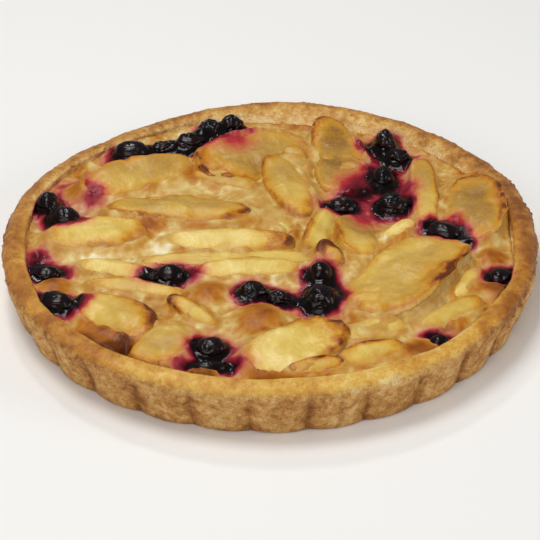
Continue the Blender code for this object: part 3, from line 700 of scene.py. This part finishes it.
def makeBerry(row, seed):
    bm = bmesh.new()
    bmesh.ops.create_icosphere(bm, subdivisions=berryMesh["subdivisions"], radius=1)
    mesh = meshFrom(bm, row["name"])
    ball = vertexPoints(mesh)
    wrinkle = row["wrinkle"]
    radius = 1 + berryMesh["uneven"] * noiseAt(ball, 0.9, seed)
    radius += berryMesh["dents"] * wrinkle * noiseAt(ball, 0.55, seed + 3)
    folds = ridgesAt(ball * [1, 1, 1.3], 0.75, seed + 40) ** 2
    fineFolds = ridgesAt(ball * [1.3, 1, 1], 0.34, seed + 60) ** 2
    radius -= wrinkle * (berryMesh["folds"] * (folds - 0.35) + berryMesh["fineFolds"] * (fineFolds - 0.3))
    x, y, z = (ball * radius[:, None] * np.array(row["size"])).T
    points = keepInside(np.column_stack([*alongAcross(x, y, -row["heading"]), z]) + np.array(row["at"]), -0.4)
    return finishPiece(row["name"], mesh, points, berrySkin, {"fold": 1 - folds}, [row["name"]])


# Juice that has run or soaked in away from a berry: (x, y, reach, how strong, how high the jam stands)
juice = {
    "runs": [
        (-62, 80, 6, 1.4, 5.0), (-47, 83, 7, 1.5, 7.5), (-36, 90, 7.5, 1.5, 9.0), (-26, 97, 7.5, 1.5, 8.5),
        (-14, 98, 5.5, 1.2, 4.0), (-99, 44, 9, 0.72, 0), (-88, 34, 8, 0.55, 0), (-106, 20, 5, 1.2, 1.2),
        (-112, -14, 6, 0.65, 0), (-110, -24, 6, 0.8, 0), (50, 82, 6, 0.7, 0), (63, 78, 6, 1.2, 1.6),
        (58, 62, 9, 0.62, 0), (47, 36, 7, 0.7, 0), (68, 40, 8, 0.5, 0), (-2, -52, 5, 1.2, 1.2),
        (14, -57, 5, 1.0, 0.6), (24, -45, 7, 1.2, 1.2), (32, -50, 6, 0.8, 0), (94, -8, 5, 1.1, 0.8),
        (-58, -35, 4, 0.6, 0), (-36, -34, 5, 0.5, 0), (-27, -99, 4, 0.9, 0.5), (-18, 80, 11, 0.42, 0),
        (46, 11, 9, 0.42, 0), (-87, -58, 6, 0.55, 0), (90, 12, 5, 0.4, 0), (43, 45, 10, 0.55, 0),
    ],
    "soaked": (0.95, 3.6),   # round a berry: how strong, and how far in mm
    "blush": (0.38, 5.0),    # the same of its faint edge
    "uneven": [(7.0, 2.2), (2.4, 1.3)],                  # how ragged its edge is: (size, how far in or out)
    "collar": 2.6,           # how wide the jam that a berry sits in is
}


def stainAt(points):
    # how much juice has soaked in at each point, from 0 to about 1.3
    grain = sum(amount * noiseAt(points, size, 3 + k) for k, (size, amount) in enumerate(juice["uneven"]))
    (soaked, soakReach), (blush, blushReach) = juice["soaked"], juice["blush"]
    stain = np.zeros(len(points))
    for row in berries:
        away = np.maximum(0, berryDistance(points, row) + grain * 0.6)
        stain = np.maximum(stain, soaked * np.exp(-(away / soakReach) ** 1.4) + blush * np.exp(-away / blushReach))
    for midX, midY, reach, strength, jam in juice["runs"]:
        away = np.hypot(points[:, 0] - midX, points[:, 1] - midY) + grain
        stain += strength * np.exp(-np.maximum(0, away / reach) ** 2) * np.maximum(0, 1 - stain * 0.7)
    return stain


custard = {
    "edge": 19.6,
    "dome": 3.2,
    "gridSteps": 258,
    "reachIn": 1.3,          # how far the mesh goes on into the crust
    "rayFrom": 60,           # higher than all slices
    "flush": 0.75,           # how much of a slice's side it hides where the slice lies low
    "lap": 0.5,              # how far it comes up over such an edge
    "proudDrop": 1.2,        # how much lower it stays along a proud edge
    "climbWidth": 4.2,
    "ripples": [(16.0, 0.9), (6.5, 0.6), (2.2, 0.2)],
    "curd": 0.7,
    "calm": 0.75,            # how much smoother its mounds are
    "mottled": (0.48, 0.19),                             # how brown in patches, and how pale on its curds
    "meniscus": 1.7,         # how far it climbs the crust
    "moundSpread": 1.05,
    "puff": 2.8,             # how steep a mound's foot is
    # hollows between slices, which painted shade also darkens
    "gaps": [(-65, -93, 2.4, 5.0), (80, -76, 1.6, 2.5), (-22, 26, 2.0, 2.0)],    # (x, y, how wide, how deep)
    # where it has puffed up: (x, y, how high, how wide, how brown)
    "mounds": [
        (-28, -50, 4.5, 9, 0.46), (-4, -71, 6.0, 12, 0.55), (-101, -43, 5.5, 8, 0.62), (107, -17, 4.5, 7, 0.58),
        (105, -47, 4.6, 8, 0.60), (-79, -88, 4.2, 13, 0.70), (68, -92, 3.8, 9, 0.56), (-97, 41, 2.5, 10, 0.4),
        (-6, 34, 2.5, 12, 0.0), (-48, 46, 2.0, 9, 0.0), (-30, -112, 4.0, 8, 0.62), (56, -72, 2.5, 9, 0.1),
        (0, 12, 2.0, 10, 0.02), (-100, -72, 3.0, 5, 0.66),
    ],
    # where syrup browned it, where painted shade darkens the gaps under slices, or where it stayed pale: (x, y, how
    # wide, how brown)
    "caramelAndGapShade": [(-58, 6, 5, 0.5), (-66, -91, 7, 0.8), (-34, 55, 6, 0.5), (113, -43, 8, 0.35), (-95, 60, 8, 0.25),
                (-44, 50, 10, -0.03), (-52, -12, 8, -0.24), (-86, -19, 9, -0.26), (60, -66, 10, -0.22),
                (66, -2, 6, 0.3), (-45, -58, 9, 0.35), (30, -66, 6, 0.3), (88, -82, 8, 0.5),
                (-62, -60, 6, 0.4), (104, 56, 8, 0.3), (22, 108, 8, 0.3), (-2, -112, 9, 0.35)],
}


def roundSpot(x, y, midX, midY, width):
    # 1 in the middle of a round spot, fading out softly
    return np.exp(-((x - midX) ** 2 + (y - midY) ** 2) / width ** 2)


def mounded(x, y, spread):
    # how much of the puffed-up places there is at a point: in all, by their heights, and by how brown they are
    midX, midY, rise, width, brown = np.array(custard["mounds"]).T[:, :, None]
    share = np.exp(-(np.hypot(x - midX, y - midY) / (spread * width)) ** custard["puff"])
    return share.sum(0), (rise * share).sum(0), (brown * share).sum(0)


def slicePlan(x, y, row):
    # where a place is by a slice's outline seen from above: how far outside it in mm, negative within, which way it
    # lies from the middle, and the height of the slice's edge there
    dx, dy = x - row["at"][0], y - row["at"][1]
    along, across = alongAcross(dx, dy, row["heading"])
    u = along / (row["length"] / 2)
    across = across - row["bow"] * (1 - np.clip(u, -1, 1) ** 2)
    half = np.where(across > 0, row["left"], row["right"]) * (1 + row["taper"] * np.clip(u, -1, 1))
    square = row["square"]
    reach = np.maximum((np.abs(u) ** square + np.abs(across / half) ** square) ** (1 / square), 1e-4)
    world = np.degrees(np.arctan2(dy, dx))
    outlineReach = np.hypot(along, across) / reach + waves(world, row["corners"])
    away = np.hypot(along, across) - outlineReach
    turned = sliceTurn(row)
    edgeHeight = row["at"][2] + (turned[2, 0] * along + turned[2, 1] * across) / reach
    edgeHeight += sliceMesh["tilt"] * row["stand"] * proudness(world, row)
    return away, world, edgeHeight


def custardGrid(span):
    # a round, closed slab with a fine grid for its top
    bm = bmesh.new()
    bmesh.ops.create_grid(bm, x_segments=custard["gridSteps"], y_segments=custard["gridSteps"], size=span)
    outside = [v for v in bm.verts if math.hypot(v.co.x, v.co.y) > span]
    bmesh.ops.delete(bm, geom=outside, context="VERTS")
    skirt = bmesh.ops.extrude_edge_only(bm, edges=[e for e in bm.edges if e.is_boundary])["geom"]
    for vertex in [g for g in skirt if isinstance(g, bmesh.types.BMVert)]:
        vertex.co.z = -1
    bmesh.ops.holes_fill(bm, edges=[e for e in bm.edges if e.is_boundary], sides=0)
    bmesh.ops.recalc_face_normals(bm, faces=bm.faces)
    return meshFrom(bm, "custard")


def makeCustard(sliceTree):
    span = case["wallRadius"] + 2
    mesh = custardGrid(span)
    points = vertexPoints(mesh)
    under = points[:, 2] < -0.5
    points[:, 2] = 0

    # the grid's ragged edge ends inside the crust
    angle = angleOf(points)
    limit = wallRadius(angle, np.full(len(points), custard["edge"]))
    points[:, :2] *= ((limit + custard["reachIn"]) / span)[:, None]

    x, y = points[:, 0], points[:, 1]
    fromWall = np.maximum(0, limit - np.hypot(x, y))
    flatPoints = np.column_stack([x, y, np.zeros(len(x))])
    ripples = [rise * noiseAt(flatPoints, size, 70 + k) for k, (size, rise) in enumerate(custard["ripples"])]
    curds = 0.5 - 2.2 * np.minimum(0.45, np.abs(noiseAt(flatPoints, 5.0, 77))) + 0.4 * noiseAt(flatPoints, 1.7, 78)
    puffed, risen, toasted = mounded(x, y, custard["moundSpread"])
    smooth = 1 - custard["calm"] * np.minimum(1, puffed)
    relief = smooth * (sum(ripples) + custard["curd"] * curds)
    middle = np.maximum(0, 1 - (np.hypot(x, y) / case["wallRadius"]) ** 2)
    base = custard["edge"] + custard["dome"] * middle + risen + relief
    lap = noiseAt(flatPoints, 9.0, 91) * 1.1 + noiseAt(flatPoints, 3.5, 92) * 0.7
    climbs = np.zeros(len(x))
    near = np.zeros(len(x))
    coats = np.zeros(len(x))
    for row in slices:
        away, world, edgeHeight = slicePlan(x, y, row)
        proudShare = smoothStep(-0.2, 0.9, proudness(world, row)) * row["stand"]
        flush = row["thick"] / 2 * (custard["flush"] * (1 - row["bare"]) - 0.9 * proudShare)
        target = edgeHeight + flush + custard["lap"] - custard["proudDrop"] * proudShare + 0.6 * lap
        width = custard["climbWidth"] * (1 - 0.45 * proudShare)
        fade = np.exp(-(np.maximum(0, away) / width) ** 1.4)
        climbs += (np.maximum(0, target - base) * fade) ** 4
        near = np.maximum(near, smoothStep(4.0, 0.8, np.abs(away)) * (1 - 0.9 * proudShare))
        coats = np.maximum(coats, row["coat"] * smoothStep(0, -2.5, away))
    climbed = climbs ** 0.25
    steep = 0.8 * smoothStep(2.2, 4.4, climbed)           # where it climbs a slice it lies smooth
    height = base + climbed - steep * relief
    height += custard["meniscus"] * np.exp(-fromWall / 3.2)

    # jam stands round the crushed berries, and elsewhere the juice has let the custard down a little
    stain = stainAt(np.column_stack([x, y, height])) * (1 - smoothStep(0.12, 0.42, toasted))
    for midX, midY, reach, strength, jam in juice["runs"]:
        height += jam * roundSpot(x, y, midX, midY, reach)
    for row in berries:
        away = berryDistance(points, row)
        collar = row["at"][2] + 0.25 * row["size"][2] + 0.8 * lap
        height += np.maximum(0, collar - height) * np.exp(-(np.maximum(0, away) / juice["collar"]) ** 1.6)
    height -= 0.4 * smoothStep(0.5, 1.1, stain)

    # it lies over the slices only along their edges, and where it coats them
    cover = smoothStep(-0.7, 0.7, noiseAt(flatPoints, 6.5, 95) + 1.8 * coats - 0.9) * smoothStep(0, 0.2, coats)
    for index in range(len(x)):
        hit, facing = sliceTree.ray_cast((x[index], y[index], custard["rayFrom"]), (0, 0, -1))[:2]
        if hit is not None:
            flank = smoothStep(0.85, 0.45, abs(facing.z))      # on a slice's steep side it keeps its own height
            ceiling = hit.z - 0.5 + near[index] * (0.7 + 0.9 * lap[index]) + 3 * flank
            height[index] = max(min(height[index], ceiling), hit.z - 0.8 + 1.4 * cover[index])

    brown = mounded(x + 2.5 * lap, y + 2.5 * ripples[1], 0.92 * custard["moundSpread"])[2]
    patchy = noiseAt(flatPoints, 8, 81) * 0.5 + noiseAt(flatPoints, 3, 82) * 0.25
    # syrup-browned spots, painted shade in the gaps under slices, and pale spots
    for midX, midY, width, strength in custard["caramelAndGapShade"]:
        brown += strength * roundSpot(x, y, midX, midY, width)
    patches, pale = custard["mottled"]
    brown = brown * (0.8 + 0.5 * patchy) + 0.15 * np.exp(-fromWall / 1.6)
    brown += smooth * (1 - steep) * (patches * patchy - pale * curds)
    # painted shade along the slices' low edges, broken by pale curds
    brown += near * (0.14 - 0.36 * np.maximum(0, noiseAt(flatPoints, 7, 85)))
    # hollows between slices, lowered and darkened with painted shade
    for midX, midY, width, deep in custard["gaps"]:
        hollow = roundSpot(x, 0.6 * y, midX, 0.6 * midY, width)
        height -= deep * hollow
        brown += 0.16 * deep * hollow
    points[:, 2] = np.where(under, case["floorHeight"] + 0.5, height)
    print("custard:", len(mesh.polygons), "faces")
    return finishPiece("custard", mesh, points, custardSkin, {"brown": brown, "stain": stain}, ["custard"])


def treeOf(pieces):
    # all the pieces' faces in one search tree, in millimetres
    points, faces = [], []
    for piece in pieces:
        start = len(points)
        points += (vertexPoints(piece.data) / mm).tolist()
        faces += [[start + corner for corner in face.vertices] for face in piece.data.polygons]
    return BVHTree.FromPolygons(points, faces)


makeCase()
slicePieces = [makeSlice(row, place + 1) for place, row in enumerate(slices)]
print("slices:", len(slicePieces))
for place, row in enumerate(berries):
    makeBerry(row, place + 1)
print("berries:", len(berries))
makeCustard(treeOf(slicePieces))


# The floor, light and camera, in metres
studio = {
    "floorColour": "#F6F5F2",
    "floorSize": 3.0,
    "floorDrop": 0.0002,     # so that it doesn't flicker with the underside
    "world": "#FFFFFF",
    "worldStrength": 0.2,
    # name, power in watts, size, place
    "lamps": [("keyLight", 7.5, 0.5, (-0.30, 0.10, 1.30)), ("fillLight", 7.7, 1.0, (-0.5, -1.1, 0.9)),
              ("sideLight", 4.1, 0.6, (1.15, -0.25, 0.55)),
              ("glintLight", 1.8, 0.12, (-0.22, 0.62, 0.95))],
    "distance": 1.040,
    "elevation": 34.38,
    "aim": (0.00015, 0.0, 0.0029),
    "focalPixels": 2112.9,
    "pictureWidth": 540,
    "sensor": 36.0,
}

bm = bmesh.new()
bmesh.ops.create_grid(bm, x_segments=1, y_segments=1, size=studio["floorSize"])
bmesh.ops.translate(bm, verts=bm.verts, vec=(0, 0, -studio["floorDrop"]))
floorMesh = meshFrom(bm, "floor")
paint, paintTree, paintShader = newMaterial("paintedBoard")      # matt white paint, so only soft shadows show
addNode(paintTree, paintShader, {"Base Color": toLinear(studio["floorColour"]), "Roughness": 0.9})
floorMesh.materials.append(paint)
floor = putInScene("floor", floorMesh)

world = bpy.data.worlds.new("studio")
bpy.context.scene.world = world
world.use_nodes = True
addNode(world.node_tree, world.node_tree.nodes["Background"],
        {"Color": toLinear(studio["world"]), "Strength": studio["worldStrength"]})

for name, power, size, place in studio["lamps"]:
    light = bpy.data.lights.new(name, "AREA")
    light.energy = power
    light.size = size
    lamp = putInScene(name, light)
    lamp.location = place
    lamp.rotation_euler = (-Vector(place)).to_track_quat("-Z", "Y").to_euler()

lens = bpy.data.cameras.new("camera")
lens.sensor_width = studio["sensor"]
lens.lens = studio["focalPixels"] / studio["pictureWidth"] * studio["sensor"]
camera = putInScene("camera", lens)
tilt = math.radians(studio["elevation"])
aim = Vector(studio["aim"])
camera.location = aim + studio["distance"] * Vector((0, -math.cos(tilt), math.sin(tilt)))
camera.rotation_euler = (aim - camera.location).to_track_quat("-Z", "Y").to_euler()
bpy.context.scene.camera = camera
bpy.context.scene.view_settings.view_transform = "Standard"
print("studio made")
